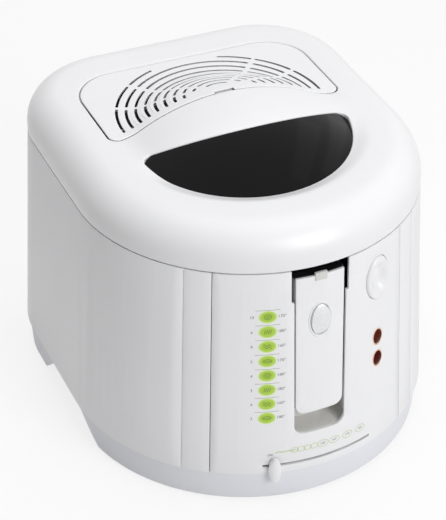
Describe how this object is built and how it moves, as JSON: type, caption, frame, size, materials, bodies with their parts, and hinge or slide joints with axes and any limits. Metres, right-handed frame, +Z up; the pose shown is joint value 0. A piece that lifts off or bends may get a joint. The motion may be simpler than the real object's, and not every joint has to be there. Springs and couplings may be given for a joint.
{
  "type": "deep fryer",
  "caption": "Closed domestic deep fryer with a white flared body, half-moon viewing window, vented filter cover, fold-down basket handle, lid button and temperature slider.",
  "frame": {"origin": "middle of the footprint's bounding box, on the surface that the fryer stands on", "axes": "+Z up; -Y towards the user, where the handle is; +X to the user's right"},
  "size_m": [0.285, 0.3263, 0.2576],
  "materials": {
    "white_plastic": "glossy white moulded plastic",
    "grey_plastic": "satin lilac-grey moulded plastic",
    "inner_plastic": "satin pale grey moulded plastic",
    "silver_plastic": "silver-grey sprayed plastic",
    "amber_lens": "clear amber lens",
    "red_lens": "clear dark red lens",
    "black_rubber": "matte black rubber",
    "seal_rubber": "matte grey silicone rubber",
    "dark_glass": "polished, nearly black tinted pane",
    "steel": "bright plated steel",
    "bare_aluminium": "satin bare sheet",
    "coated_aluminium": "dark non-stick coating",
    "dark_plastic": "dark heat-proof moulding",
    "white_fleece": "white fibre mat",
    "black_foam": "open black foam"
  },
  "bodies": {
    "housing": {"outer_wall": "white_plastic", "front_panel": "white_plastic", "handle_well": "inner_plastic", "base_tray": "grey_plastic", "rubber_feet": "black_rubber", "base_screws": "steel", "cord_gland": "black_rubber", "deck": "dark_plastic", "oil_pot": "coated_aluminium", "heating_element": "steel", "thermostat": "dark_plastic", "thermal_cutout": "dark_plastic", "heat_shield": "bare_aluminium", "terminal_block": "dark_plastic", "lamp_carrier": "inner_plastic", "power_lamp_lens": "amber_lens", "heat_lamp_lens": "red_lens", "hinge_brackets": "white_plastic", "hinge_pins": "steel"},
    "lid": {"lid_shell": "white_plastic", "window_glass": "dark_glass", "filter_tray": "inner_plastic", "grease_filter": "white_fleece", "charcoal_filter": "black_foam", "lid_liner": "bare_aluminium", "lid_seal": "seal_rubber", "lid_catch": "inner_plastic", "lid_knuckles": "white_plastic"},
    "filter_cover": {"filter_cover": "white_plastic"},
    "basket": {"basket": "steel", "basket_rim": "steel", "basket_fork": "steel"},
    "handle": {"handle_grip": "white_plastic", "handle_pins": "steel"},
    "handle_button": {"handle_button": "silver_plastic"},
    "lid_button": {"lid_button": "white_plastic", "latch_slide": "inner_plastic"},
    "slider": {"slider_knob": "white_plastic", "thermostat_lever": "inner_plastic"}
  },
  "joints": [
    {"name": "lid_hinge", "type": "hinge", "parent": "housing", "child": "lid", "pos_m": [0, 0.1589, 0.205], "axis": [-1, 0, 0], "range_deg": [0, 85]},
    {"name": "cover_hinge", "type": "hinge", "parent": "lid", "child": "filter_cover", "pos_m": [0, 0.104, 0.2375], "axis": [-1, 0, 0], "range_deg": [0, 60]},
    {"name": "basket_lift", "type": "slide", "parent": "housing", "child": "basket", "axis": [0, 0, 1], "range_m": [0, 0.025]},
    {"name": "handle_fold", "type": "hinge", "parent": "basket", "child": "handle", "pos_m": [0, -0.1406, 0.163], "axis": [-1, 0, 0], "range_deg": [0, 90]},
    {"name": "handle_button_press", "type": "slide", "parent": "handle", "child": "handle_button", "axis": [0, 1, 0], "range_m": [0, 0.0025], "stiffness_N_per_m": 400},
    {"name": "lid_button_press", "type": "slide", "parent": "housing", "child": "lid_button", "axis": [-0.3746, 0.9272, 0], "range_m": [0, 0.003], "stiffness_N_per_m": 500},
    {"name": "temperature_slide", "type": "hinge", "parent": "housing", "child": "slider", "pos_m": [0, -0.0206, 0.035], "axis": [0, 0, 1], "range_deg": [0, 29.5]}
  ],
  "couplings": [
    {"joint": "handle_fold", "follows": "basket_lift", "rad_per_m": 62.826}
  ]
}
